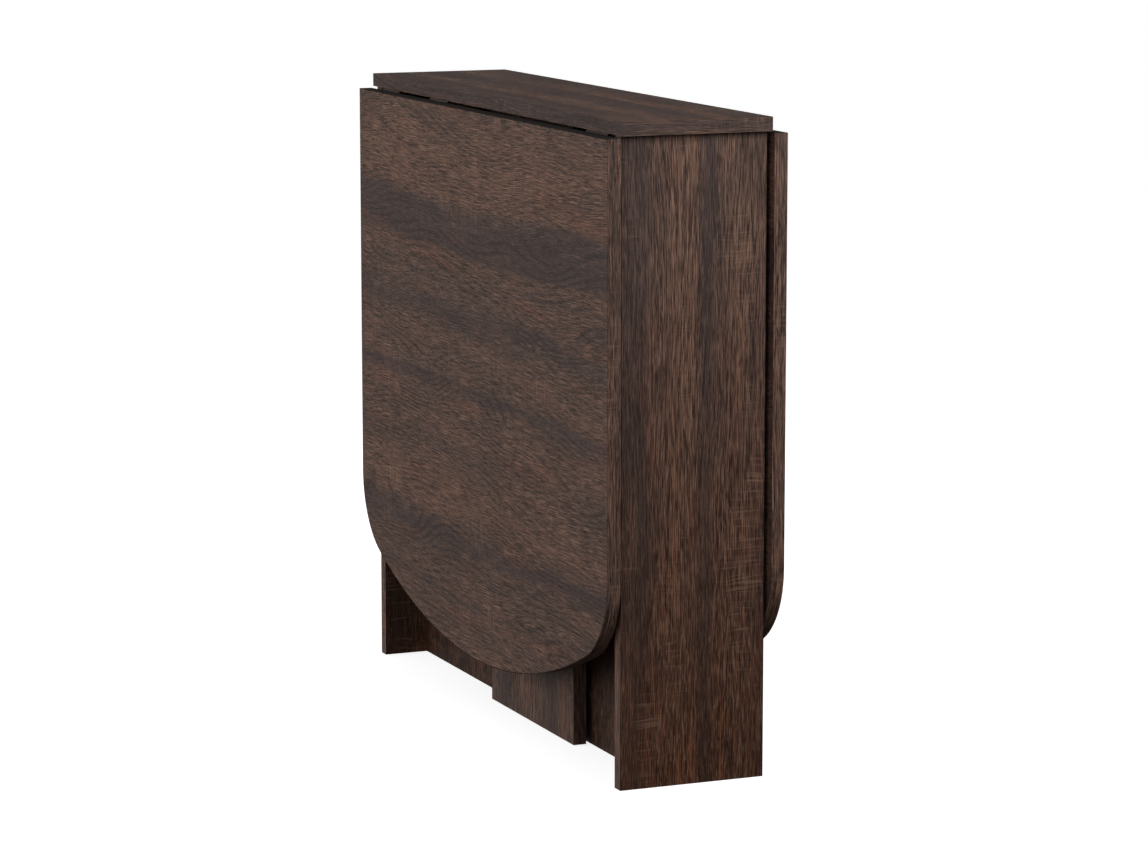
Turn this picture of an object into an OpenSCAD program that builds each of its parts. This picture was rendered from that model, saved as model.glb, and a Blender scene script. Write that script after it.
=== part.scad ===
// Gateleg table, folded: a narrow fixed top on two end panels and twin spine panels,
// two round-ended drop leaves, and two gate legs that swing out to carry the leaves.
// Millimetres. X runs along the hinge lines, the front leaf faces -Y, Z is up.
// The origin is on the floor at the middle of the table.

/* [Overall sizes] */
// height of the table top's upper face above the floor
table_h = 750; // [600:5:920]
// length of the fixed top and of both leaves, along the hinge lines
top_len = 800; // [660:5:980]
// width of the fixed top, from one hinge line to the other
top_w = 180; // [148:2:260]
// height of a hanging leaf's lowest point above the floor
leaf_floor_gap = 72; // [20:2:200]

/* [Boards] */
// thickness of every board
board_t = 16; // [13:0.5:20]
// thickness of the plastic edge banding
band_t = 0.8; // [0.4:0.1:2]
// how far the fixed top reaches past each end panel, along X
end_overhang = 10; // [2:1:30]
// how far an end panel's long edges stand back from the fixed top's edges
panel_setback = 2; // [0:0.5:12]
// distance from the middle of the table to a spine panel's outer face
spine_face = 31.5; // [24:0.5:34]

/* [Leaf outline] */
// radius of the broad curve across a leaf's free end
leaf_end_r = 825; // [640:5:1500]
// radius of a leaf's two free corners
leaf_corner_r = 105; // [60:5:160]

/* [Gate legs] */
// width of a gate leg
gate_w = 260; // [200:5:330]
// distance from the middle of the table to a gate leg's hinge edge, along X
gate_edge_x = 84; // [60:2:120]
// clearance under a gate leg
gate_floor_gap = 1; // [0.5:0.5:4]
// clearance between a gate leg and the underside it slides below
gate_top_gap = 1; // [0.6:0.1:1.2]

/* [Leaf hinges] */
// length of a leaf hinge
leaf_hinge_len = 60; // [40:2:80]
// width of one plate of a leaf hinge, measured from the pin
leaf_hinge_w = 24; // [18:1:30]
// thickness of a leaf hinge plate
leaf_hinge_t = 1; // [0.8:0.1:1.2]
// outer radius of a leaf hinge's knuckles
leaf_knuckle_r = 1.8; // [1.6:0.1:2.4]
// radius of a leaf hinge's pin
leaf_pin_r = 0.9; // [0.6:0.1:1.1]
// gap between a raised leaf and the fixed top
leaf_gap = 0.5; // [0.4:0.1:2]
// distance from the table's ends to the middle of the outermost leaf hinges
leaf_hinge_inset = 70; // [50:5:100]

/* [Gate hinges] */
// height of a gate hinge
gate_hinge_len = 70; // [50:2:90]
// width of one plate of a gate hinge, measured from the pin
gate_hinge_w = 26; // [20:1:34]
// thickness of a gate hinge plate
gate_hinge_t = 1.5; // [1:0.1:1.8]
// outer radius of a gate hinge's knuckles
gate_knuckle_r = 3.4; // [2.8:0.1:4]
// radius of a gate hinge's pin
gate_pin_r = 1.75; // [1.2:0.05:2]
// distance from the floor to the lower gate hinge's middle
gate_hinge_low = 130; // [80:5:200]
// distance from the underside of the top to the upper gate hinge's middle
gate_hinge_drop = 130; // [80:5:200]

/* [Fasteners] */
// radius of a hinge screw's shank
screw_r = 1.5; // [1.2:0.1:2]
// radius of a hinge screw's head
screw_head_r = 2.9; // [2.6:0.1:3.4]
// length of a hinge screw, head included
screw_len = 12; // [9:0.5:12.5]
// radius of a cam lock
cam_r = 7.3; // [6:0.1:7.4]
// distance from a board's edge to a cam lock's middle
cam_reach = 34; // [24:1:40]
// radius of a wooden dowel
dowel_r = 4; // [3:0.5:4]

/* [Clearances] */
// radial running clearance of a hinge pin in its knuckles
pin_clear = 0.05; // [0.02:0.01:0.09]
// clearance between moving metal and the boards or knuckles beside it
swing_clear = 0.3; // [0.3:0.05:0.6]
// radial clearance round screws, dowels and cam bolts
hole_clear = 0.02; // [0.01:0.01:0.05]

/* [Hidden] */
$fn = 96;
eps = 0.5;
half_len = top_len / 2;
half_w = top_w / 2;
under_z = table_h - board_t;
base_half = half_len - end_overhang;
panel_in = base_half - board_t;
panel_w = top_w - 2 * panel_setback;
spine_mid = spine_face - board_t / 2;

// leaf hinge: the pin runs below the joint between fixed top and leaf
leaf_off = leaf_knuckle_r + swing_clear;
leaf_pin_y = half_w + leaf_gap / 2;
leaf_pin_z = under_z - leaf_off;
leaf_in_y = leaf_pin_y + leaf_off;
leaf_top_z = leaf_pin_z - leaf_gap / 2;
leaf_drop = leaf_top_z - leaf_floor_gap;

// gate hinge: the pin stands between spine panel and gate leg, just past the leg's edge
gate_off = gate_knuckle_r + 0.35;
gate_edge_gap = gate_knuckle_r + 0.6;
gate_pin_x = -(gate_edge_x + gate_edge_gap);
gate_pin_y = spine_face + gate_off;
gate_in_y = spine_face + 2 * gate_off;
gate_top_z = under_z - gate_top_gap;
gate_hinge_z = [gate_hinge_low, under_z - gate_hinge_drop];

// the middle leaf hinge stands beside the leg's swept floor, on the hinge side of it
leaf_hinge_mid = gate_pin_x - gate_off - board_t - leaf_hinge_len / 2 - 24;
leaf_hinge_x = [-(half_len - leaf_hinge_inset), leaf_hinge_mid, half_len - leaf_hinge_inset];

// cam fittings and dowels
cam_depth = 12.5;
cam_bore_r = cam_r + 0.2;
bolt_thread_r = 2.5;
bolt_thread_len = board_t - 5;
bolt_shank_r = 2.8;
bolt_bore_r = 3.5;
spine_cam_z = [110, under_z - 110];
spine_dowel_z = under_z / 2;
spine_dowel_x = half_len * 0.4;
panel_cam_y = half_w * 0.62;
panel_dowel_y = half_w * 0.32;
dowel_deep = 19;
dowel_face = board_t - 5;

function decor() = [0.29, 0.23, 0.20];
function decor_edge() = [0.24, 0.19, 0.17];
function steel() = [0.72, 0.72, 0.74];
function zinc() = [0.60, 0.60, 0.62];
function beech() = [0.80, 0.64, 0.44];

// ---- placing helpers ----

module turned() {
    rotate([0, 0, 180]) children();
}

module box(lo, hi) {
    translate(lo) cube(hi - lo);
}

// ---- screws ----

// countersunk screw: head face at z = 0, shank along +Z
module screw(plate_t) {
    difference() {
        union() {
            cylinder(h = plate_t, r1 = screw_head_r, r2 = screw_head_r - plate_t);
            translate([0, 0, plate_t / 2])
                cylinder(h = screw_len - plate_t / 2 - 2, r = screw_r);
            translate([0, 0, screw_len - 2])
                cylinder(h = 2, r1 = screw_r, r2 = 0.3);
        }
        box([-1.7, -0.3, -eps], [1.7, 0.3, 0.7]);
        box([-0.3, -1.7, -eps], [0.3, 1.7, 0.7]);
    }
}

// the countersink and clearance hole a screw needs in its plate
module screw_seat(plate_t) {
    r = screw_head_r + hole_clear;
    translate([0, 0, -eps]) cylinder(h = plate_t + eps, r1 = r + eps, r2 = r - plate_t);
    cylinder(h = plate_t + eps, r = screw_r + hole_clear);
}

// the hole a screw needs in its board, from the board's face at z = 0
module screw_hole(plate_t) {
    translate([0, 0, -eps])
        cylinder(h = screw_len - plate_t + eps + 0.5, r = screw_r + hole_clear);
}

// ---- hinges: pin along X, plate reaching +Y, board face at z = off ----

function screw_spots(len, w) = [[-len * 0.33, w * 0.62], [0, w * 0.74], [len * 0.33, w * 0.62]];

module at_screws(len, w) {
    for (s = screw_spots(len, w))
        translate([s[0], s[1], 0]) children();
}

module knuckle(x0, x1, kr, off, t) {
    translate([x0, 0, 0]) rotate([0, 90, 0]) cylinder(h = x1 - x0, r = kr);
    box([x0, swing_clear, off - t], [x1, kr + swing_clear + 1, off]);
}

// outer = true carries the two end knuckles, false carries the middle one
module hinge_plate(len, w, t, kr, pr, off, outer) {
    cut = len / 6;
    difference() {
        union() {
            box([-len / 2, kr + swing_clear, off - t], [len / 2, w, off]);
            if (outer) {
                knuckle(-len / 2, -cut, kr, off, t);
                knuckle(cut, len / 2, kr, off, t);
            }
            if (!outer)
                knuckle(-cut + swing_clear, cut - swing_clear, kr, off, t);
        }
        translate([-len, 0, 0]) rotate([0, 90, 0]) cylinder(h = 2 * len, r = pr + pin_clear);
        at_screws(len, w) translate([0, 0, off - t]) screw_seat(t);
    }
}

module hinge_pin(len, pr) {
    translate([-len / 2, 0, 0]) rotate([0, 90, 0]) cylinder(h = len, r = pr);
    for (s = [-1, 1])
        translate([s * (len / 2 + 0.35), 0, 0]) rotate([0, 90, 0])
            cylinder(h = 0.7, r = pr * 1.5, center = true);
}

module leaf_plate_shape(outer) {
    hinge_plate(leaf_hinge_len, leaf_hinge_w, leaf_hinge_t, leaf_knuckle_r, leaf_pin_r,
        leaf_off, outer);
}

module gate_plate_shape(outer) {
    hinge_plate(gate_hinge_len, gate_hinge_w, gate_hinge_t, gate_knuckle_r, gate_pin_r,
        gate_off, outer);
}

module leaf_screw_spots() {
    at_screws(leaf_hinge_len, leaf_hinge_w) translate([0, 0, leaf_off - leaf_hinge_t]) children();
}

module gate_screw_spots() {
    at_screws(gate_hinge_len, gate_hinge_w) translate([0, 0, gate_off - gate_hinge_t]) children();
}

// hinge frames on the front side of the table
module top_side(x) {
    translate([x, -leaf_pin_y, leaf_pin_z]) children();
}

module leaf_side(x) {
    translate([x, -leaf_pin_y, leaf_pin_z]) rotate([-90, 0, 180]) children();
}

module spine_side(z) {
    translate([gate_pin_x, -gate_pin_y, z]) rotate([0, -90, -90]) children();
}

module gate_side(z) {
    translate([gate_pin_x, -gate_pin_y, z]) rotate([0, 90, -90]) children();
}

module top_screw_holes() {
    for (x = leaf_hinge_x)
        top_side(x) at_screws(leaf_hinge_len, leaf_hinge_w)
            translate([0, 0, leaf_off]) screw_hole(leaf_hinge_t);
}

module leaf_screw_holes() {
    for (x = leaf_hinge_x)
        leaf_side(x) at_screws(leaf_hinge_len, leaf_hinge_w)
            translate([0, 0, leaf_off]) screw_hole(leaf_hinge_t);
}

module spine_screw_holes() {
    for (z = gate_hinge_z)
        spine_side(z) at_screws(gate_hinge_len, gate_hinge_w)
            translate([0, 0, gate_off]) screw_hole(gate_hinge_t);
}

module gate_screw_holes() {
    for (z = gate_hinge_z)
        gate_side(z) at_screws(gate_hinge_len, gate_hinge_w)
            translate([0, 0, gate_off]) screw_hole(gate_hinge_t);
}

// ---- cam fittings: bolt along Z across the joint at z = 0, cam face at x = +board_t / 2 ----

module cam_lock() {
    difference() {
        translate([board_t / 2 - cam_depth, 0, -cam_reach]) rotate([0, 90, 0])
            cylinder(h = cam_depth, r = cam_r);
        translate([0, 0, -cam_reach - 3.2]) cylinder(h = cam_r + 8, r = bolt_shank_r + 0.4);
        translate([board_t / 2 - 1.6, 0, -cam_reach]) {
            box([0, -3.6, -0.6], [3, 3.6, 0.6]);
            box([0, -0.6, -3.6], [3, 0.6, 3.6]);
        }
    }
}

module cam_bolt() {
    cylinder(h = bolt_thread_len, r = bolt_thread_r);
    translate([0, 0, -cam_reach + 5]) cylinder(h = cam_reach - 5, r = bolt_shank_r);
    translate([0, 0, -cam_reach + 1]) cylinder(h = 5, r = 1.8);
    translate([0, 0, -cam_reach - 2.6]) cylinder(h = 4, r = bolt_shank_r);
}

module cam_bores() {
    translate([board_t / 2 - cam_depth - 0.3, 0, -cam_reach]) rotate([0, 90, 0])
        cylinder(h = cam_depth + 0.3 + eps, r = cam_bore_r);
    translate([0, 0, -cam_reach]) cylinder(h = cam_reach + eps, r = bolt_bore_r);
}

module cam_thread_bore() {
    translate([0, 0, -eps])
        cylinder(h = bolt_thread_len + eps + 0.5, r = bolt_thread_r + hole_clear);
}

// spine to end panels, front spine
module at_spine_cams() {
    for (z = spine_cam_z) {
        translate([panel_in, -spine_mid, z]) rotate([90, 0, 90]) children();
        translate([-panel_in, -spine_mid, z]) rotate([-90, 0, 90]) children();
    }
}

module at_all_spine_cams() {
    at_spine_cams() children();
    turned() at_spine_cams() children();
}

// end panels to fixed top
module at_panel_cams() {
    for (y = [-panel_cam_y, panel_cam_y]) {
        translate([base_half - board_t / 2, y, under_z]) rotate([0, 0, 180]) children();
        translate([-(base_half - board_t / 2), y, under_z]) children();
    }
}

// dowels across a joint at z = 0, the deep end below
module dowel_shape(clear) {
    translate([0, 0, -dowel_deep - clear * 10])
        cylinder(h = dowel_deep + dowel_face + clear * 20, r = dowel_r + clear);
}

module at_dowels() {
    for (y = [-panel_dowel_y, panel_dowel_y])
        for (x = [-1, 1])
            translate([x * (base_half - board_t / 2), y, under_z]) children();
    for (s = [0, 180])
        rotate([0, 0, s]) {
            for (x = [-spine_dowel_x, spine_dowel_x])
                translate([x, -spine_mid, under_z]) children();
            translate([panel_in, -spine_mid, spine_dowel_z]) rotate([0, 90, 0]) children();
            translate([-panel_in, -spine_mid, spine_dowel_z]) rotate([0, -90, 0]) children();
        }
}

module dowel_holes() {
    at_dowels() dowel_shape(hole_clear);
}

// ---- boards ----

module fixed_top() {
    color(decor())
    difference() {
        box([-half_len + band_t, -half_w + band_t, under_z],
            [half_len - band_t, half_w - band_t, table_h]);
        top_screw_holes();
        turned() top_screw_holes();
        at_panel_cams() cam_thread_bore();
        dowel_holes();
    }
}

module fixed_top_edging() {
    color(decor_edge())
    difference() {
        box([-half_len, -half_w, under_z], [half_len, half_w, table_h]);
        box([-half_len + band_t, -half_w + band_t, under_z - eps],
            [half_len - band_t, half_w - band_t, table_h + eps]);
    }
}

// the right end panel; the left one is the same board turned round
module end_panel() {
    difference() {
        box([panel_in, -panel_w / 2 + band_t, 0], [base_half, panel_w / 2 - band_t, under_z]);
        at_panel_cams() cam_bores();
        at_all_spine_cams() cam_thread_bore();
        dowel_holes();
    }
}

module panel_edging() {
    for (s = [0, 1])
        mirror([0, s, 0])
            box([panel_in, -panel_w / 2, 0], [base_half, -panel_w / 2 + band_t, under_z]);
}

module right_end_panel() {
    color(decor()) end_panel();
}

module right_panel_edging() {
    color(decor_edge()) panel_edging();
}

module left_end_panel() {
    color(decor()) turned() end_panel();
}

module left_panel_edging() {
    color(decor_edge()) turned() panel_edging();
}

module spine_panel() {
    difference() {
        box([-panel_in, -spine_face, 0], [panel_in, -spine_face + board_t, under_z]);
        at_spine_cams() cam_bores();
        dowel_holes();
        spine_screw_holes();
    }
}

module front_spine_panel() {
    color(decor()) spine_panel();
}

module rear_spine_panel() {
    color(decor()) turned() spine_panel();
}

module cam_locks() {
    color(zinc()) {
        at_all_spine_cams() cam_lock();
        at_panel_cams() cam_lock();
    }
}

module cam_bolts() {
    color(steel()) {
        at_all_spine_cams() cam_bolt();
        at_panel_cams() cam_bolt();
    }
}

module dowels() {
    color(beech()) at_dowels() dowel_shape(0);
}

// ---- leaves ----

// a leaf lying flat: X along the hinge, hinge edge on y = 0, curved end towards -Y;
// tangent arcs make the free end, and inset draws the whole outline that much smaller
module leaf_slab(inset, from_z, to_z) {
    deep = to_z - from_z;
    big_r = leaf_end_r - inset;
    small_r = leaf_corner_r - inset;
    centre_x = half_len - leaf_corner_r;
    big_y = leaf_end_r - leaf_drop;
    reach = leaf_end_r - leaf_corner_r;
    small_y = big_y - sqrt(reach * reach - centre_x * centre_x);
    touch_x = centre_x * big_r / reach;
    touch_y = big_y - (big_y - small_y) * big_r / reach;
    side_x = half_len - inset;
    translate([0, 0, from_z]) {
        linear_extrude(height = deep)
            polygon([[-side_x, -inset], [side_x, -inset], [side_x, small_y],
                [touch_x, touch_y], [-touch_x, touch_y], [-side_x, small_y]]);
        for (s = [-1, 1])
            translate([s * centre_x, small_y, 0]) cylinder(h = deep, r = small_r);
        intersection() {
            translate([0, big_y, 0]) cylinder(h = deep, r = big_r);
            box([-touch_x, big_y - leaf_end_r - 10, 0], [touch_x, touch_y + 1, deep]);
        }
    }
}

// stands a flat leaf up as the hanging front leaf
module hang_leaf() {
    translate([0, -leaf_in_y, leaf_top_z]) rotate([90, 0, 0]) children();
}

module leaf_board() {
    difference() {
        hang_leaf() leaf_slab(band_t, 0, board_t);
        leaf_screw_holes();
    }
}

module leaf_edging() {
    hang_leaf() difference() {
        leaf_slab(0, 0, board_t);
        leaf_slab(band_t, -eps, board_t + eps);
    }
}

module front_leaf() {
    color(decor()) leaf_board();
}

module front_leaf_edging() {
    color(decor_edge()) leaf_edging();
}

module rear_leaf() {
    color(decor()) turned() leaf_board();
}

module rear_leaf_edging() {
    color(decor_edge()) turned() leaf_edging();
}

// ---- gate legs ----

module gate_board() {
    difference() {
        box([-gate_edge_x + band_t, -gate_in_y - board_t, gate_floor_gap],
            [-gate_edge_x + gate_w - band_t, -gate_in_y, gate_top_z]);
        gate_screw_holes();
    }
}

module gate_edging() {
    for (x = [-gate_edge_x, -gate_edge_x + gate_w - band_t])
        box([x, -gate_in_y - board_t, gate_floor_gap], [x + band_t, -gate_in_y, gate_top_z]);
}

module front_gate_leg() {
    color(decor()) gate_board();
}

module front_gate_edging() {
    color(decor_edge()) gate_edging();
}

module rear_gate_leg() {
    color(decor()) turned() gate_board();
}

module rear_gate_edging() {
    color(decor_edge()) turned() gate_edging();
}

// ---- leaf hinges: far, mid and near along X on the front side ----

module front_far_top_plate() {
    color(steel()) top_side(leaf_hinge_x[0]) leaf_plate_shape(true);
}

module front_mid_top_plate() {
    color(steel()) top_side(leaf_hinge_x[1]) leaf_plate_shape(true);
}

module front_near_top_plate() {
    color(steel()) top_side(leaf_hinge_x[2]) leaf_plate_shape(true);
}

module rear_near_top_plate() {
    color(steel()) turned() top_side(leaf_hinge_x[0]) leaf_plate_shape(true);
}

module rear_mid_top_plate() {
    color(steel()) turned() top_side(leaf_hinge_x[1]) leaf_plate_shape(true);
}

module rear_far_top_plate() {
    color(steel()) turned() top_side(leaf_hinge_x[2]) leaf_plate_shape(true);
}

module front_far_leaf_plate() {
    color(steel()) leaf_side(leaf_hinge_x[0]) leaf_plate_shape(false);
}

module front_mid_leaf_plate() {
    color(steel()) leaf_side(leaf_hinge_x[1]) leaf_plate_shape(false);
}

module front_near_leaf_plate() {
    color(steel()) leaf_side(leaf_hinge_x[2]) leaf_plate_shape(false);
}

module rear_near_leaf_plate() {
    color(steel()) turned() leaf_side(leaf_hinge_x[0]) leaf_plate_shape(false);
}

module rear_mid_leaf_plate() {
    color(steel()) turned() leaf_side(leaf_hinge_x[1]) leaf_plate_shape(false);
}

module rear_far_leaf_plate() {
    color(steel()) turned() leaf_side(leaf_hinge_x[2]) leaf_plate_shape(false);
}

module leaf_hinge_pins() {
    color(zinc())
    for (s = [0, 180])
        rotate([0, 0, s])
            for (x = leaf_hinge_x)
                top_side(x) hinge_pin(leaf_hinge_len, leaf_pin_r);
}

// ---- gate hinges ----

module front_low_spine_plate() {
    color(steel()) spine_side(gate_hinge_z[0]) gate_plate_shape(true);
}

module front_high_spine_plate() {
    color(steel()) spine_side(gate_hinge_z[1]) gate_plate_shape(true);
}

module rear_low_spine_plate() {
    color(steel()) turned() spine_side(gate_hinge_z[0]) gate_plate_shape(true);
}

module rear_high_spine_plate() {
    color(steel()) turned() spine_side(gate_hinge_z[1]) gate_plate_shape(true);
}

module front_low_gate_plate() {
    color(steel()) gate_side(gate_hinge_z[0]) gate_plate_shape(false);
}

module front_high_gate_plate() {
    color(steel()) gate_side(gate_hinge_z[1]) gate_plate_shape(false);
}

module rear_low_gate_plate() {
    color(steel()) turned() gate_side(gate_hinge_z[0]) gate_plate_shape(false);
}

module rear_high_gate_plate() {
    color(steel()) turned() gate_side(gate_hinge_z[1]) gate_plate_shape(false);
}

module gate_hinge_pins() {
    color(zinc())
    for (s = [0, 180])
        rotate([0, 0, s])
            for (z = gate_hinge_z)
                spine_side(z) hinge_pin(gate_hinge_len, gate_pin_r);
}

// ---- hinge screws, one group for each moving body and side ----

module top_hinge_screws() {
    color(zinc())
    for (s = [0, 180])
        rotate([0, 0, s])
            for (x = leaf_hinge_x)
                top_side(x) leaf_screw_spots() screw(leaf_hinge_t);
}

module spine_hinge_screws() {
    color(zinc())
    for (s = [0, 180])
        rotate([0, 0, s])
            for (z = gate_hinge_z)
                spine_side(z) gate_screw_spots() screw(gate_hinge_t);
}

module leaf_screws() {
    for (x = leaf_hinge_x)
        leaf_side(x) leaf_screw_spots() screw(leaf_hinge_t);
}

module gate_screws() {
    for (z = gate_hinge_z)
        gate_side(z) gate_screw_spots() screw(gate_hinge_t);
}

module front_leaf_screws() {
    color(zinc()) leaf_screws();
}

module rear_leaf_screws() {
    color(zinc()) turned() leaf_screws();
}

module front_gate_screws() {
    color(zinc()) gate_screws();
}

module rear_gate_screws() {
    color(zinc()) turned() gate_screws();
}

// ---- draw ----

fixed_top();
fixed_top_edging();
left_end_panel();
left_panel_edging();
right_end_panel();
right_panel_edging();
front_spine_panel();
rear_spine_panel();
cam_locks();
cam_bolts();
dowels();
front_leaf();
front_leaf_edging();
rear_leaf();
rear_leaf_edging();
front_gate_leg();
front_gate_edging();
rear_gate_leg();
rear_gate_edging();
front_far_top_plate();
front_mid_top_plate();
front_near_top_plate();
rear_far_top_plate();
rear_mid_top_plate();
rear_near_top_plate();
front_far_leaf_plate();
front_mid_leaf_plate();
front_near_leaf_plate();
rear_far_leaf_plate();
rear_mid_leaf_plate();
rear_near_leaf_plate();
leaf_hinge_pins();
front_low_spine_plate();
front_high_spine_plate();
rear_low_spine_plate();
rear_high_spine_plate();
front_low_gate_plate();
front_high_gate_plate();
rear_low_gate_plate();
rear_high_gate_plate();
gate_hinge_pins();
top_hinge_screws();
spine_hinge_screws();
front_leaf_screws();
rear_leaf_screws();
front_gate_screws();
rear_gate_screws();
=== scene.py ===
# %% [markdown]
# # A folded gateleg table in dark oak decor
# The table is laminated chipboard: printed and pressed paper on both faces of a 16 mm board, with
# plastic tape glued round the edges. Its shape comes from the CAD model, which stays as it is.
# This lesson gives each piece its material, then sets up a camera and a soft studio.

# %% Load the table's frame
import math

import bpy
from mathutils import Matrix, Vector


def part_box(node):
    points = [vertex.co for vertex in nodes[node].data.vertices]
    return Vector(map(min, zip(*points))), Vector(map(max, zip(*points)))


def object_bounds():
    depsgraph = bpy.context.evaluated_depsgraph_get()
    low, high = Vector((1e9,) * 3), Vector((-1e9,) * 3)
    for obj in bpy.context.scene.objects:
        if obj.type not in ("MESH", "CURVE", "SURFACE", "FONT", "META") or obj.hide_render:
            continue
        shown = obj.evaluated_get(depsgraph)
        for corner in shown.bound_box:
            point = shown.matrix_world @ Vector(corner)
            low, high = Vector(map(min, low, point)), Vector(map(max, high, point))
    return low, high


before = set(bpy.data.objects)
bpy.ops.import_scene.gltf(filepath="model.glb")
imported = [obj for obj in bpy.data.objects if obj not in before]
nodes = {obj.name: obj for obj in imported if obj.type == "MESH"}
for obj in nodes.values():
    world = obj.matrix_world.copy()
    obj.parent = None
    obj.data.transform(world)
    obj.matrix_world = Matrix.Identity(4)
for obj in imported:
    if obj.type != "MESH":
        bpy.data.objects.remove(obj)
cad_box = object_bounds()
scene = bpy.context.scene
print("loaded", len(nodes), "pieces, overall box", [round(v, 4) for c in cad_box for v in c])

# %% [markdown]
# ## Camera
# The folded table is seen from 1.1 m up and more than four metres away, mostly along its length,
# with a long lens. A long lens keeps the edges of the boards close to parallel. The lens could be
# shifted to keep uprights exactly upright, but a plain tilted camera frames every other view too.

# %% Camera
eye = Vector((4.342, -1.798, 1.110))
turn_deg = 67.29
down_deg = 9.25
camera_data = bpy.data.cameras.new("camera")
camera_data.sensor_width = 36.0
camera_data.lens = 124.1
camera_data.clip_end = 300.0
camera = bpy.data.objects.new("camera", camera_data)
scene.collection.objects.link(camera)
camera.location = eye
camera.rotation_euler = (math.radians(90.0 - down_deg), 0.0, math.radians(turn_deg))
scene.camera = camera
middle = (cad_box[0] + cad_box[1]) / 2
print("camera", round((eye - middle).length, 2), "m from the table's middle")

# %% [markdown]
# ## Two small helpers
# Colours are the hex values a paint chart would give, turned to linear light by one function.
# One function adds any shader node, with its links, its fixed values and its colour stops.

# %% Colour and node helpers
def linear(hex_colour):
    parts = [int(hex_colour[i:i + 2], 16) / 255.0 for i in (1, 3, 5)]
    return tuple(c / 12.92 if c <= 0.04045 else ((c + 0.055) / 1.055) ** 2.4 for c in parts) + (1.0,)


def grey(value):
    return (value, value, value, 1.0)


def add(tree, kind, sockets, stops=None, **settings):
    node = tree.nodes.new(kind)
    for key, value in settings.items():
        setattr(node, key, value)
    for key, value in sockets.items():
        if isinstance(value, bpy.types.NodeSocket):
            tree.links.new(value, node.inputs[key])
        else:
            node.inputs[key].default_value = value
    if stops:
        elements = node.color_ramp.elements
        elements.remove(elements[1])
        elements[0].position, elements[0].color = stops[0]
        for position, colour in stops[1:]:
            elements.new(position).color = colour
    return node


def new_material(name):
    material = bpy.data.materials.new(name)
    material.use_nodes = True
    material.node_tree.nodes.clear()
    return material, material.node_tree


print("dark oak brown in linear light:", [round(c, 3) for c in linear("#422d24")[:3]])

# %% [markdown]
# ## The decor as a sheet of paper
# The paper is printed like smoked, sawn oak. From far to near it has grey-black smoked bands
# along the board, reddish zones, growth-ring lines that close into flames, fine fibres, short
# pores, and patches of saw marks that cross the grain. An image would be simpler, but worked out
# from sizes in millimetres each board gets its own stretch of the same wood and no image is needed.
# So the pattern is drawn in the paper's own millimetres: along the grain, across it, and depth.

# %% Paper coordinates in millimetres
AXIS = {"X": 0, "Y": 1, "Z": 2}
LOW_SIDE, HIGH_SIDE = 0, 1


def edge_of(node_name, axis, side):
    """Where the low or high side of a piece lies along an axis, in millimetres."""
    return round(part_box(node_name)[side][AXIS[axis]] * 1000.0, 2)


def paper_place(tree, outline, along, across, depth, side):
    """The object's own coordinates as (along, across from one edge, depth), in millimetres."""
    inward = 1.0 if side == LOW_SIDE else -1.0
    edge_mm = edge_of(outline, across, side)
    coords = add(tree, "ShaderNodeTexCoord", {})
    mm = add(tree, "ShaderNodeVectorMath", {0: coords.outputs["Object"], 3: 1000.0}, operation="SCALE")
    parts = add(tree, "ShaderNodeSeparateXYZ", {0: mm.outputs[0]}).outputs
    from_edge = add(tree, "ShaderNodeMath",
                    {0: parts[AXIS[across]], 1: inward, 2: -inward * edge_mm}, operation="MULTIPLY_ADD")
    paper = add(tree, "ShaderNodeCombineXYZ",
                {0: parts[AXIS[along]], 1: from_edge.outputs[0], 2: parts[AXIS[depth]]})
    return paper.outputs[0], coords


def grains(along_mm, across_mm, depth_mm, tape=False):
    """Noise cells per millimetre. Tape turns corners, so its grain runs long in depth too."""
    return (1.0 / along_mm, 1.0 / across_mm, 1.0 / (along_mm if tape else depth_mm))


print("the front leaf's paper is measured down from", edge_of("front_leaf_edging", "Z", HIGH_SIDE), "mm")

# %% [markdown]
# ## Tones of the oak
# Smoked oak runs from mid brown to grey-black, with a redder brown between. Rings and pores are
# nearly black, and the wood rubbed bare by the saw is pale.

# %% Oak tones
OAK = {"light": "#5f463a", "brown": "#523e35", "smoked": "#433633", "red": "#643f31",
       "ring": "#2c211d", "pore": "#1f1511", "dash": "#8a6e5e", "sawn": "#96735f"}
print(len(OAK), "oak tones")

# %% [markdown]
# ## Sway
# No board is dead straight in the grain. Slow noise pushes the whole pattern sideways by up to
# 17 mm. A board's number moves it to a stretch of wood of its own.

# %% Sway of the grain
SWAY_MM = 17.0
BOARD_STEP = (731.0, 57.0, 91.0)


def swayed_wood(tree, paper, seed, tape):
    """The board's own wood, straight and swayed, and the swayed distance from the board's edge."""
    straight = add(tree, "ShaderNodeVectorMath",
                   {0: paper, 1: [seed * step for step in BOARD_STEP]}, operation="ADD").outputs[0]
    sway_at = add(tree, "ShaderNodeVectorMath",
                  {0: straight, 1: grains(420, 110, 200, tape)}, operation="MULTIPLY").outputs[0]
    sway = add(tree, "ShaderNodeTexNoise", {"Vector": sway_at, "Scale": 1.0, "Detail": 1.5})
    sway_mm = add(tree, "ShaderNodeMath",
                  {0: sway.outputs["Fac"], 1: 2 * SWAY_MM, 2: -SWAY_MM}, operation="MULTIPLY_ADD")
    sideways = add(tree, "ShaderNodeCombineXYZ", {1: sway_mm.outputs[0]}).outputs[0]
    wood = add(tree, "ShaderNodeVectorMath", {0: straight, 1: sideways}, operation="ADD").outputs[0]
    bent = add(tree, "ShaderNodeVectorMath", {0: paper, 1: sideways}, operation="ADD").outputs[0]
    across = add(tree, "ShaderNodeSeparateXYZ", {0: bent}).outputs[1]
    return straight, wood, across


print("the grain sways", SWAY_MM, "mm either way")

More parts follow.
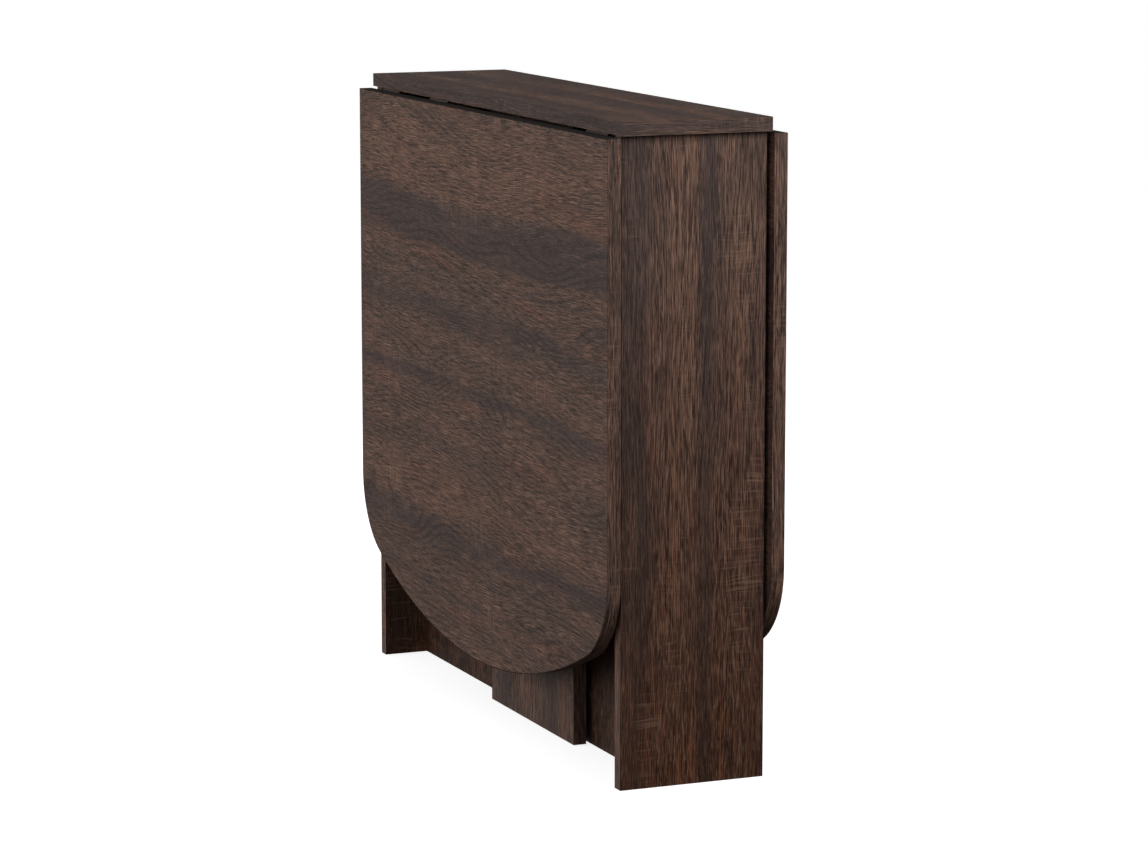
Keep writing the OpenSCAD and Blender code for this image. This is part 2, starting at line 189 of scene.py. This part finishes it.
# %% [markdown]
# ## Smoke
# Smoking darkens oak in long bands. They follow a layout in millimetres from the board's edge.
# Streaks 6 mm wide that run the length of the board, and cloudy patches a hand long, break them up.

# %% Smoked bands
def smoked_ground(tree, wood, across, layout, tape):
    """Adds the ground colour and returns it with the smoke and the clouds behind it."""
    width_mm = layout[-1][0]
    place = add(tree, "ShaderNodeMath", {0: across, 1: width_mm}, operation="DIVIDE").outputs[0]
    bands = add(tree, "ShaderNodeValToRGB", {0: place},
                [(mm / width_mm, grey(smoke)) for mm, smoke in layout]).outputs[0]
    streak_at = add(tree, "ShaderNodeVectorMath",
                    {0: wood, 1: grains(820, 6, 6, tape)}, operation="MULTIPLY").outputs[0]
    streak = add(tree, "ShaderNodeTexNoise",
                 {"Vector": streak_at, "Scale": 1.0, "Detail": 4.0, "Roughness": 0.65}).outputs["Fac"]
    cloud_at = add(tree, "ShaderNodeVectorMath",
                   {0: wood, 1: grains(150, 24, 40, tape)}, operation="MULTIPLY").outputs[0]
    cloud = add(tree, "ShaderNodeTexNoise",
                {"Vector": cloud_at, "Scale": 1.0, "Detail": 3.0, "Roughness": 0.55}).outputs["Fac"]
    streaked = add(tree, "ShaderNodeMath", {0: streak, 1: bands}, operation="ADD").outputs[0]
    clouded = add(tree, "ShaderNodeMath",
                  {0: cloud, 1: 0.9, 2: streaked}, operation="MULTIPLY_ADD").outputs[0]
    # streaks and clouds average 0.95 together, so taking that off leaves the layout's own smoke
    smoke = add(tree, "ShaderNodeMath", {0: clouded, 1: 0.95}, operation="SUBTRACT").outputs[0]
    ground = add(tree, "ShaderNodeValToRGB", {0: smoke},
                 [(0.0, linear(OAK["light"])), (0.5, linear(OAK["brown"])), (1.0, linear(OAK["smoked"]))])
    return ground.outputs[0], smoke, cloud


print("smoke goes from", OAK["light"], "to", OAK["smoked"])

# %% [markdown]
# ## Red zones and growth rings
# Reddish zones are about 170 mm long and 26 mm wide. Growth rings are 7.5 mm apart and wander up to
# 150 mm across the board, so they close into flames. They show mostly where the clouds are thick.

# %% Red zones
def red_zones(tree, ground, wood, tape):
    """Adds reddish zones over the ground and returns the colour."""
    red_at = add(tree, "ShaderNodeVectorMath",
                 {0: wood, 1: grains(170, 26, 26, tape)}, operation="MULTIPLY").outputs[0]
    red = add(tree, "ShaderNodeTexNoise", {"Vector": red_at, "Scale": 1.0, "Detail": 2.0})
    redness = add(tree, "ShaderNodeMapRange",
                  {0: red.outputs["Fac"], 1: 0.54, 2: 0.76, 3: 0.0, 4: 0.42}).outputs[0]
    return add(tree, "ShaderNodeMix", {0: redness, 6: ground, 7: linear(OAK["red"])},
               data_type="RGBA").outputs[2]


print("reddest oak", OAK["red"])

# %% Growth rings
RING_MM = 7.5
CURL_MM = 150.0
WAVE_PER_UNIT = 20.0  # the wave texture turns 20 radians over one unit at scale 1


def growth_rings(tree, ground, straight, across, cloud, tape):
    """Adds dark ring lines over the ground and returns the colour."""
    curl_at = add(tree, "ShaderNodeVectorMath",
                  {0: straight, 1: grains(380, 120, 300, tape)}, operation="MULTIPLY").outputs[0]
    curl = add(tree, "ShaderNodeTexNoise", {"Vector": curl_at, "Scale": 1.0, "Detail": 1.0})
    ring_mm = add(tree, "ShaderNodeMath",
                  {0: curl.outputs["Fac"], 1: CURL_MM, 2: across}, operation="MULTIPLY_ADD")
    ring_at = add(tree, "ShaderNodeCombineXYZ", {1: ring_mm.outputs[0]}).outputs[0]
    ring = add(tree, "ShaderNodeTexWave",
               {"Vector": ring_at, "Scale": 2.0 * math.pi / WAVE_PER_UNIT / RING_MM}, bands_direction="Y")
    line = add(tree, "ShaderNodeMapRange",
               {0: ring.outputs["Fac"], 1: 0.4, 2: 1.0, 3: 0.0, 4: 0.6}).outputs[0]
    patch = add(tree, "ShaderNodeMapRange", {0: cloud, 1: 0.44, 2: 0.56, 3: 0.2, 4: 1.0}).outputs[0]
    amount = add(tree, "ShaderNodeMath", {0: line, 1: patch}, operation="MULTIPLY").outputs[0]
    return add(tree, "ShaderNodeMix", {0: amount, 6: ground, 7: linear(OAK["ring"])},
               data_type="RGBA").outputs[2]


print("growth rings", RING_MM, "mm apart")

# %% [markdown]
# ## Painted shade
# Some boards carry painted shade in their colour. The end panels turn darker and redder towards the
# floor, the two boards inside the table darken towards the floor as painted shade in the recess under
# the leaves, and the top is darker and browner all over, a painted shade against the light and sheen it gets
# from above.

# %% Painted shade
# where the tint starts and where it is full, in millimetres along the grain, and the full tint
# painted shade: the end panels grow darker and redder from 600 mm down, fullest at the floor
SHADE_TO_FLOOR = (600.0, 0.0, (0.78, 0.53, 0.36, 1.0))
# painted shade in the recess under the leaves: the inner boards darken from the top down, full below 200 mm
RECESS_SHADE = (734.0, 200.0, (0.40, 0.25, 0.16, 1.0))
# painted shade over the whole top, which gets the most light and sheen from above
TOP_SHADE = (-500.0, -400.0, (0.88, 0.80, 0.74, 1.0))


def paint_shade(tree, ground, paper, shade_tint):
    """Adds a painted shade tint over the ground, growing along the grain, and returns the colour."""
    start_mm, full_mm, tint = shade_tint
    along = add(tree, "ShaderNodeSeparateXYZ", {0: paper}).outputs[0]
    amount = add(tree, "ShaderNodeMapRange", {0: along, 1: start_mm, 2: full_mm}).outputs[0]
    return add(tree, "ShaderNodeMix", {0: amount, 6: ground, 7: tint},
               data_type="RGBA", blend_type="MULTIPLY").outputs[2]


print("end panels keep", SHADE_TO_FLOOR[2][:3], "of their colour at the floor")

# %% [markdown]
# ## Fibres, dashes and pores
# Real oak pores are 0.3 mm wide, too fine to show from here, so pores and fibres are drawn coarser,
# in noise cells 0.6 mm wide. Between the dark pores lie pale dashes where the print catches the
# light. Where the smoke is thick, fibres and dashes are calmer.

# %% Fibres and pores
FIBRE_MM = (34.0, 0.6)
PORE_MM = (13.0, 0.6)


def fibres_and_pores(tree, ground, wood, smoke, tape):
    """Adds the fine grain and returns its colour, the fibres and the pores."""
    calm = add(tree, "ShaderNodeMapRange", {0: smoke, 1: 0.45, 2: 1.0, 3: 1.0, 4: 0.4}).outputs[0]
    fibre_at = add(tree, "ShaderNodeVectorMath",
                   {0: wood, 1: grains(*FIBRE_MM, FIBRE_MM[1], tape)}, operation="MULTIPLY").outputs[0]
    fibre = add(tree, "ShaderNodeTexNoise",
                {"Vector": fibre_at, "Scale": 1.0, "Detail": 1.0, "Roughness": 0.5}).outputs["Fac"]
    tone = add(tree, "ShaderNodeValToRGB", {0: fibre},
               [(0.38, grey(0.30)), (0.50, grey(0.87)), (0.62, grey(2.40))]).outputs[0]
    fibred = add(tree, "ShaderNodeMix", {0: calm, 6: ground, 7: tone},
                 data_type="RGBA", blend_type="MULTIPLY").outputs[2]
    pore_at = add(tree, "ShaderNodeVectorMath",
                  {0: wood, 1: grains(*PORE_MM, PORE_MM[1], tape)}, operation="MULTIPLY").outputs[0]
    pore = add(tree, "ShaderNodeTexNoise", {"Vector": pore_at, "Scale": 1.0, "Detail": 1.0}).outputs["Fac"]
    pores = add(tree, "ShaderNodeMapRange", {0: pore, 1: 0.58, 2: 0.70, 3: 0.0, 4: 0.8}).outputs[0]
    dash = add(tree, "ShaderNodeMapRange", {0: pore, 1: 0.43, 2: 0.31, 3: 0.0, 4: 0.6}).outputs[0]
    dashes = add(tree, "ShaderNodeMath", {0: dash, 1: calm}, operation="MULTIPLY").outputs[0]
    dashed = add(tree, "ShaderNodeMix", {0: dashes, 6: fibred, 7: linear(OAK["dash"])},
                 data_type="RGBA").outputs[2]
    pored = add(tree, "ShaderNodeMix", {0: pores, 6: dashed, 7: linear(OAK["pore"])},
                data_type="RGBA").outputs[2]
    return pored, fibre, pores


print("fibre noise cells", FIBRE_MM, "mm, pore noise cells", PORE_MM, "mm")

# %% [markdown]
# ## Saw marks
# A saw leaves pale lines across the grain, a few millimetres apart and a little wavy. They show
# only in patches about a hand long, where the blade dragged.

# %% Saw marks
def saw_marks(tree, ground, straight, tape):
    """Adds the saw marks and returns the colour and how strong the marks are."""
    wave_at = add(tree, "ShaderNodeVectorMath",
                  {0: straight, 1: grains(40, 40, 40, tape)}, operation="MULTIPLY").outputs[0]
    wave = add(tree, "ShaderNodeTexNoise", {"Vector": wave_at, "Scale": 1.0, "Detail": 1.0})
    wave_mm = add(tree, "ShaderNodeMath", {0: wave.outputs["Fac"], 1: 7.0}, operation="MULTIPLY")
    lengthways = add(tree, "ShaderNodeCombineXYZ", {0: wave_mm.outputs[0]}).outputs[0]
    wavy = add(tree, "ShaderNodeVectorMath", {0: straight, 1: lengthways}, operation="ADD").outputs[0]
    saw_at = add(tree, "ShaderNodeVectorMath",
                 {0: wavy, 1: grains(2.2, 60, 60, tape)}, operation="MULTIPLY").outputs[0]
    saw = add(tree, "ShaderNodeTexNoise", {"Vector": saw_at, "Scale": 1.0, "Detail": 1.5})
    line = add(tree, "ShaderNodeMapRange",
               {0: saw.outputs["Fac"], 1: 0.54, 2: 0.70, 3: 0.0, 4: 0.42}).outputs[0]
    patch_at = add(tree, "ShaderNodeVectorMath",
                   {0: straight, 1: grains(130, 60, 70, tape)}, operation="MULTIPLY").outputs[0]
    drag = add(tree, "ShaderNodeTexNoise", {"Vector": patch_at, "Scale": 1.0, "Detail": 2.0})
    patch = add(tree, "ShaderNodeMapRange", {0: drag.outputs["Fac"], 1: 0.54, 2: 0.72}).outputs[0]
    marks = add(tree, "ShaderNodeMath", {0: line, 1: patch}, operation="MULTIPLY").outputs[0]
    sawn = add(tree, "ShaderNodeMix", {0: marks, 6: ground, 7: linear(OAK["sawn"])},
               data_type="RGBA").outputs[2]
    return sawn, marks


print("saw marks in tone", OAK["sawn"])

# %% [markdown]
# ## The whole print
# The layers go on from the broadest to the finest. The press then gives the paper a relief that
# follows the print: fibres and saw marks stand proud, and pores are dents.

# %% Oak print
def oak_print(tree, paper, seed, layout, tape=False, shade_tint=None):
    """Adds the oak and returns its colour, roughness and height."""
    straight, wood, across = swayed_wood(tree, paper, seed, tape)
    ground, smoke, cloud = smoked_ground(tree, wood, across, layout, tape)
    reddened = red_zones(tree, ground, wood, tape)
    ringed = growth_rings(tree, reddened, straight, across, cloud, tape)
    # a board with painted shade gets its darkening tint here, before the fibres and pores
    if shade_tint:
        ringed = paint_shade(tree, ringed, paper, shade_tint)
    pored, fibre, pores = fibres_and_pores(tree, ringed, wood, smoke, tape)
    colour, marks = saw_marks(tree, pored, straight, tape)
    rough = add(tree, "ShaderNodeMapRange", {0: fibre, 1: 0.3, 2: 0.7, 3: 0.48, 4: 0.62}).outputs[0]
    dented = add(tree, "ShaderNodeMath", {0: pores, 1: -1.0, 2: fibre}, operation="MULTIPLY_ADD")
    height = add(tree, "ShaderNodeMath",
                 {0: marks, 1: 0.6, 2: dented.outputs[0]}, operation="MULTIPLY_ADD").outputs[0]
    return colour, rough, height


print("oak print ready: colour, roughness and height")

# %% [markdown]
# ## Laminated board
# Where an edge has no tape, under the feet and inside drilled holes, the pressed chips show: pale
# flakes 1 to 4 mm across. The material asks which way the surface faces in the board's own space.
# Surfaces across the board's thickness are decor, all others are chips.

# %% Laminated board material
CHIPS_PER_M = 420.0


def laminated_board(name, outline, along, across, depth, side, seed, layout, shade_tint=None):
    material, tree = new_material(name)
    paper, coords = paper_place(tree, outline, along, across, depth, side)
    colour, rough, height = oak_print(tree, paper, seed, layout, shade_tint=shade_tint)
    chips = add(tree, "ShaderNodeTexVoronoi", {"Vector": coords.outputs["Object"], "Scale": CHIPS_PER_M})
    chip_tone = add(tree, "ShaderNodeValToRGB", {0: chips.outputs["Color"]},
                    [(0.1, linear("#6f5334")), (0.5, linear("#a4824f")), (0.9, linear("#c9ab78"))])
    facing = add(tree, "ShaderNodeSeparateXYZ", {0: coords.outputs["Normal"]}).outputs[AXIS[depth]]
    flat = add(tree, "ShaderNodeMath", {0: facing}, operation="ABSOLUTE").outputs[0]
    decor = add(tree, "ShaderNodeMath", {0: flat, 1: 0.5}, operation="GREATER_THAN").outputs[0]
    skin = add(tree, "ShaderNodeMix", {0: decor, 6: chip_tone.outputs[0], 7: colour},
               data_type="RGBA").outputs[2]
    rough_all = add(tree, "ShaderNodeMix", {0: decor, 2: 0.85, 3: rough}).outputs[0]
    relief = add(tree, "ShaderNodeMix", {0: decor, 2: chips.outputs["Distance"], 3: height}).outputs[0]
    bump = add(tree, "ShaderNodeBump", {"Height": relief, "Strength": 0.4, "Distance": 0.0002})
    shader = add(tree, "ShaderNodeBsdfPrincipled",
                 {"Base Color": skin, "Roughness": rough_all, "IOR": 1.5, "Specular IOR Level": 0.2,
                  "Normal": bump.outputs[0]})
    add(tree, "ShaderNodeOutputMaterial", {0: shader.outputs[0]})
    return material


print("chips about", round(1000.0 / CHIPS_PER_M, 1), "mm across")

# %% [markdown]
# ## Where the smoked bands lie
# Each layout gives the smoke, from 0 for light brown to 1 for grey-black, at a few distances in
# millimetres from one edge of the board. A leaf is measured down from its hinge edge and shows the
# whole width of the paper. The narrow boards are cut from other strips of it.

# %% Band layouts
LEAF_BANDS = [(0, 0.35), (30, 0.2), (55, 0.0), (104, 0.05), (118, 0.95), (172, 1.0), (184, 0.4),
              (215, 0.6), (256, 0.85), (282, 0.45), (320, 0.35), (338, 1.0), (352, 0.55),
              (390, 0.35), (415, 0.6), (450, 0.3), (488, 0.15), (506, 0.55), (522, 1.0),
              (548, 0.6), (600, 0.65), (660, 0.4)]
PANEL_BANDS = [(0, 0.85), (26, 0.95), (36, 0.6), (60, 0.25), (88, 0.35), (100, 0.95), (112, 0.8),
               (124, 0.4), (150, 0.5), (176, 0.7)]
TOP_BANDS = [(0, 0.9), (26, 1.0), (42, 0.5), (58, 0.45), (74, 0.95), (104, 1.0), (118, 0.45),
             (136, 0.5), (152, 0.95), (180, 0.85)]
SPINE_BANDS = [(0, 0.4), (90, 0.8), (200, 0.3), (330, 0.9), (420, 0.4), (560, 0.7), (748, 0.3)]
GATE_BANDS = [(0, 0.5), (50, 0.9), (90, 0.3), (150, 0.6), (200, 0.9), (260, 0.3)]
print("layouts", [layout[-1][0] for layout in (LEAF_BANDS, PANEL_BANDS, TOP_BANDS)], "mm wide")

# %% [markdown]
# ## The nine boards
# Each board is given the piece that bounds it, its grain, width and thickness directions, the side
# that its layout starts from, its stretch of wood, its layout, and its painted shade if it has one.

# %% Nine boards
def dress(node_name, material):
    mesh = nodes[node_name].data
    mesh.materials.clear()
    mesh.materials.append(material)


BOARDS = {
    "fixed_top": ("fixed_top_edging", "X", "Y", "Z", LOW_SIDE, 1.0, TOP_BANDS, TOP_SHADE),
    "front_leaf": ("front_leaf_edging", "X", "Z", "Y", HIGH_SIDE, 31.0, LEAF_BANDS),
    "rear_leaf": ("rear_leaf_edging", "X", "Z", "Y", HIGH_SIDE, 3.0, LEAF_BANDS),
    "right_end_panel": ("right_panel_edging", "Z", "Y", "X", LOW_SIDE, 22.0, PANEL_BANDS, SHADE_TO_FLOOR),
    "left_end_panel": ("left_panel_edging", "Z", "Y", "X", LOW_SIDE, 5.0, PANEL_BANDS, SHADE_TO_FLOOR),
    "front_spine_panel": ("front_spine_panel", "Z", "X", "Y", LOW_SIDE, 6.0, SPINE_BANDS, RECESS_SHADE),
    "rear_spine_panel": ("rear_spine_panel", "Z", "X", "Y", LOW_SIDE, 7.0, SPINE_BANDS, RECESS_SHADE),
    "front_gate_leg": ("front_gate_edging", "Z", "X", "Y", LOW_SIDE, 8.0, GATE_BANDS),
    "rear_gate_leg": ("rear_gate_edging", "Z", "X", "Y", LOW_SIDE, 9.0, GATE_BANDS),
}
for node_name, board in BOARDS.items():
    dress(node_name, laminated_board("laminated chipboard, " + node_name, *board))
print("dressed", len(BOARDS), "boards")

# %% [markdown]
# ## Edge tape
# The tape is ABS plastic, 0.8 mm thick, printed to match and trimmed flush. Its grain follows the
# tape. Its cut rim shows the plain dark plastic, which draws a thin dark line round each board, and
# its corners are rubbed paler in places. The tape on a leaf's hinge edge is painted plain dark as
# painted shade, so the joint reads as a shadow.

# %% Edge tape material
HALF_BOARD_MM = 8.0
RUBBED_FROM_MM = 6.6


def edge_tape(name, outline, thickness, seed, smoke, shaded_hinge_edge):
    material, tree = new_material(name)
    along = "X" if thickness == "Z" else "Z"
    depth = "X" if thickness == "Y" else "Y"
    paper, coords = paper_place(tree, outline, along, thickness, depth, LOW_SIDE)
    bands = [(0, smoke), (5, smoke - 0.15), (11, smoke + 0.1), (16, smoke)]
    colour, rough, height = oak_print(tree, paper, seed, bands, tape=True)
    facing = add(tree, "ShaderNodeSeparateXYZ", {0: coords.outputs["Normal"]}).outputs
    flat = add(tree, "ShaderNodeMath", {0: facing[AXIS[thickness]]}, operation="ABSOLUTE").outputs[0]
    rim_and_hinge_shade = add(tree, "ShaderNodeMath", {0: flat, 1: 0.5}, operation="GREATER_THAN").outputs[0]
    # the upward face of a leaf's tape, its hinge edge, takes the dark rim colour as painted shade of the
    # hinge slot
    if shaded_hinge_edge:
        upper = add(tree, "ShaderNodeMath", {0: facing[2], 1: 0.5}, operation="GREATER_THAN").outputs[0]
        rim_and_hinge_shade = add(tree, "ShaderNodeMath", {0: rim_and_hinge_shade, 1: upper}, operation="MAXIMUM").outputs[0]
    from_edge = add(tree, "ShaderNodeSeparateXYZ", {0: paper}).outputs[1]
    off_middle = add(tree, "ShaderNodeMath", {0: from_edge, 1: HALF_BOARD_MM}, operation="SUBTRACT")
    from_middle = add(tree, "ShaderNodeMath", {0: off_middle.outputs[0]}, operation="ABSOLUTE").outputs[0]
    corner = add(tree, "ShaderNodeMapRange",
                 {0: from_middle, 1: RUBBED_FROM_MM, 2: HALF_BOARD_MM}).outputs[0]
    rub_at = add(tree, "ShaderNodeVectorMath", {0: paper, 1: grains(30, 2, 30)}, operation="MULTIPLY")
    rub = add(tree, "ShaderNodeTexNoise", {"Vector": rub_at.outputs[0], "Scale": 1.0, "Detail": 3.0})
    rubbed = add(tree, "ShaderNodeMapRange",
                 {0: rub.outputs["Fac"], 1: 0.42, 2: 0.62, 3: 0.0, 4: 0.6}).outputs[0]
    worn = add(tree, "ShaderNodeMath", {0: corner, 1: rubbed}, operation="MULTIPLY").outputs[0]
    scuffed = add(tree, "ShaderNodeMix", {0: worn, 6: colour, 7: linear("#7c5543")},
                  data_type="RGBA").outputs[2]
    # dark plastic on the cut rim, and painted shade on a leaf's hinge edge
    skin = add(tree, "ShaderNodeMix", {0: rim_and_hinge_shade, 6: scuffed, 7: linear("#170f0c")},
               data_type="RGBA").outputs[2]
    rough_all = add(tree, "ShaderNodeMix", {0: rim_and_hinge_shade, 2: rough, 3: 0.9}).outputs[0]
    bump = add(tree, "ShaderNodeBump", {"Height": height, "Strength": 0.3, "Distance": 0.0002})
    shader = add(tree, "ShaderNodeBsdfPrincipled",
                 {"Base Color": skin, "Roughness": rough_all, "IOR": 1.52, "Specular IOR Level": 0.2,
                  "Normal": bump.outputs[0]})
    add(tree, "ShaderNodeOutputMaterial", {0: shader.outputs[0]})
    return material


# the board's thickness direction, the stretch of wood, the smoke, and if the hinge edge is painted dark as
# shade
TAPES = {
    "fixed_top_edging": ("Z", 11.0, 1.0, False),
    "front_leaf_edging": ("Y", 12.0, 0.55, True),
    "rear_leaf_edging": ("Y", 13.0, 0.4, True),
    "right_panel_edging": ("X", 14.0, 0.2, False),
    "left_panel_edging": ("X", 15.0, 0.5, False),
    "front_gate_edging": ("Y", 16.0, 0.7, False),
    "rear_gate_edging": ("Y", 17.0, 0.7, False),
}
for node_name, tape in TAPES.items():
    dress(node_name, edge_tape("ABS edge tape, " + node_name, node_name, *tape))
print("dressed", len(TAPES), "sets of edge tape")

# %% [markdown]
# ## Metal fittings
# Hinge plates, pins and hinge screws are steel with a dark bronzed finish, a thin brown-black
# oxide over metal, so they stay quiet in the gap under the top. Plates are pressed from sheet and
# cloudy, pins are drawn wire, screws are cold-headed and rubbed brighter. The fittings inside the
# joints, which no one sees, are bright: zinc plated bolts and die-cast zinc cams.

# %% Metal materials
def fitting_metal(name, pale, dull, rough_low, rough_high, cloud_mm, pit_mm):
    material, tree = new_material(name)
    coords = add(tree, "ShaderNodeTexCoord", {})
    cloud = add(tree, "ShaderNodeTexNoise",
                {"Vector": coords.outputs["Object"], "Scale": 1000.0 / cloud_mm, "Detail": 4.0})
    tone = add(tree, "ShaderNodeValToRGB", {0: cloud.outputs["Fac"]},
               [(0.3, linear(dull)), (0.7, linear(pale))])
    rough = add(tree, "ShaderNodeMapRange",
                {0: cloud.outputs["Fac"], 1: 0.3, 2: 0.7, 3: rough_low, 4: rough_high}).outputs[0]
    pits = add(tree, "ShaderNodeTexNoise",
               {"Vector": coords.outputs["Object"], "Scale": 1000.0 / pit_mm, "Detail": 2.0})
    bump = add(tree, "ShaderNodeBump",
               {"Height": pits.outputs["Fac"], "Strength": 0.3, "Distance": 0.00005})
    shader = add(tree, "ShaderNodeBsdfPrincipled",
                 {"Base Color": tone.outputs[0], "Metallic": 1.0, "Roughness": rough,
                  "Normal": bump.outputs[0]})
    add(tree, "ShaderNodeOutputMaterial", {0: shader.outputs[0]})
    return material


bronzed_plate = fitting_metal("bronzed sheet steel, pressed", "#4a3b30", "#2b221c", 0.38, 0.52, 5.0, 0.6)
bronzed_screw = fitting_metal("bronzed steel screw, cold headed", "#5c4a3b", "#33281f", 0.32, 0.45, 2.0, 0.5)
bronzed_wire = fitting_metal("bronzed steel wire, drawn", "#54463a", "#372c24", 0.28, 0.40, 3.0, 0.4)
zinc_bolt = fitting_metal("zinc plated steel bolt, turned", "#bdbbb4", "#8f8d88", 0.25, 0.40, 2.0, 0.5)
cast_zinc = fitting_metal("zinc alloy, die-cast", "#9b9c9e", "#77787a", 0.40, 0.55, 2.5, 0.9)
for node_name in nodes:
    if node_name.endswith("_plate"):
        dress(node_name, bronzed_plate)
    if node_name.endswith("_screws"):
        dress(node_name, bronzed_screw)
    if node_name.endswith("_pins"):
        dress(node_name, bronzed_wire)
dress("cam_bolts", zinc_bolt)
dress("cam_locks", cast_zinc)
print("metals:", [m.name for m in (bronzed_plate, bronzed_screw, bronzed_wire, zinc_bolt, cast_zinc)])

# %% [markdown]
# ## Beech dowels
# Dowels are turned from raw beech: pale pink-brown, with short dark flecks along the grain.

# %% Beech material
beech, beech_tree = new_material("raw beech, turned")
beech_coords = add(beech_tree, "ShaderNodeTexCoord", {})
fleck_at = add(beech_tree, "ShaderNodeVectorMath",
               {0: beech_coords.outputs["Object"], 1: (140.0, 900.0, 900.0)}, operation="MULTIPLY")
fleck = add(beech_tree, "ShaderNodeTexNoise", {"Vector": fleck_at.outputs[0], "Scale": 1.0, "Detail": 3.0})
beech_tone = add(beech_tree, "ShaderNodeValToRGB", {0: fleck.outputs["Fac"]},
                 [(0.35, linear("#a97f57")), (0.5, linear("#c9a178")), (0.7, linear("#d9b890"))])
beech_bump = add(beech_tree, "ShaderNodeBump",
                 {"Height": fleck.outputs["Fac"], "Strength": 0.3, "Distance": 0.0001})
beech_shader = add(beech_tree, "ShaderNodeBsdfPrincipled",
                   {"Base Color": beech_tone.outputs[0], "Roughness": 0.62, "IOR": 1.5,
                    "Normal": beech_bump.outputs[0]})
add(beech_tree, "ShaderNodeOutputMaterial", {0: beech_shader.outputs[0]})
dress("dowels", beech)
print("dowels:", beech.name)

# %% [markdown]
# ## Studio
# The floor is a sheet of matt white acrylic lit from below, as on a light table, so it stays pale
# right up to the feet and keeps only a faint shadow.

# %% Floor
floor_mesh = bpy.data.meshes.new("studio_floor")
half = 100.0  # metres from the middle to each side
floor_mesh.from_pydata([(-half, -half, 0), (half, -half, 0), (half, half, 0), (-half, half, 0)],
                       [], [(0, 1, 2, 3)])
floor = bpy.data.objects.new("studio_floor", floor_mesh)
scene.collection.objects.link(floor)
acrylic, floor_tree = new_material("opal acrylic sheet, lit from below")
floor_coords = add(floor_tree, "ShaderNodeTexCoord", {})
floor_noise = add(floor_tree, "ShaderNodeTexNoise",
                  {"Vector": floor_coords.outputs["Object"], "Scale": 3.0, "Detail": 3.0})
floor_tone = add(floor_tree, "ShaderNodeValToRGB", {0: floor_noise.outputs["Fac"]},
                 [(0.3, grey(0.50)), (0.7, grey(0.52))])
floor_shader = add(floor_tree, "ShaderNodeBsdfPrincipled",
                   {"Base Color": floor_tone.outputs[0], "Roughness": 0.9, "Specular IOR Level": 0.0,
                    "Emission Color": (1, 1, 1, 1), "Emission Strength": 0.8})
add(floor_tree, "ShaderNodeOutputMaterial", {0: floor_shader.outputs[0]})
floor_mesh.materials.append(acrylic)
floor.visible_diffuse = False
floor.visible_glossy = False
print("floor", 2 * half, "m square")

# %% [markdown]
# The surround is bright in front of the table and dim behind it, as with a large white screen at
# the front of a studio. The table sees that light, and the camera sees plain white.

# %% Surround
world = bpy.data.worlds.new("studio_surround")
scene.world = world
world.use_nodes = True
world.node_tree.nodes.clear()
sky = world.node_tree
sky_coords = add(sky, "ShaderNodeTexCoord", {})
toward = add(sky, "ShaderNodeSeparateXYZ", {0: sky_coords.outputs["Generated"]}).outputs
front = add(sky, "ShaderNodeMapRange", {0: toward[1], 1: 0.5, 2: -0.8, 3: 0.15, 4: 0.74},
            interpolation_type="SMOOTHSTEP").outputs[0]
level = add(sky, "ShaderNodeMapRange",
            {0: toward[2], 1: -0.35, 2: 0.15, 3: 0.12, 4: 1.0}).outputs[0]
screen = add(sky, "ShaderNodeMath", {0: front, 1: level}, operation="MULTIPLY").outputs[0]
ray = add(sky, "ShaderNodeLightPath", {}).outputs["Is Camera Ray"]
seen = add(sky, "ShaderNodeMix", {0: ray, 2: screen, 3: 1.0}).outputs[0]
surround = add(sky, "ShaderNodeBackground", {"Color": (1, 1, 1, 1), "Strength": seen})
add(sky, "ShaderNodeOutputWorld", {0: surround.outputs[0]})
print("surround has", len(sky.nodes), "nodes")

# %% [markdown]
# Four softboxes shape the table. The front one lights the hanging leaf, the end one the upper
# part of the end panel, and the other two the back and the far end. Those two stay out of
# reflections, so the top keeps its dull sheen.

# %% Softboxes
def softbox(name, place, aim, width, height, watts, mirrored=True):
    data = bpy.data.lights.new(name, "AREA")
    data.shape = "RECTANGLE"
    data.size, data.size_y, data.energy = width, height, watts
    light = bpy.data.objects.new(name, data)
    scene.collection.objects.link(light)
    light.location = place
    light.visible_glossy = mirrored
    light.rotation_euler = (Vector(aim) - Vector(place)).to_track_quat("-Z", "Y").to_euler()
    print(name, watts, "W at", place)


softbox("front_softbox", (-0.4, -3.6, 1.1), (0, 0, 0.3), 2.6, 2.0, 48.0)
softbox("end_softbox", (1.5, 0.45, 1.4), (0.39, 0, 0.7), 0.8, 0.8, 16.0)
softbox("back_softbox", (0.5, 3.6, 0.9), (0, 0, 0.3), 2.6, 1.7, 40.0, mirrored=False)
softbox("far_end_softbox", (-2.0, 0.7, 1.3), (-0.39, 0, 0.5), 1.0, 1.0, 17.0, mirrored=False)

# %% [markdown]
# Colours are shown as they are, with no film curve, so each tone stays the one on its chart.

# %% Plain display of colours
scene.view_settings.view_transform = "Standard"
print("view transform", scene.view_settings.view_transform)
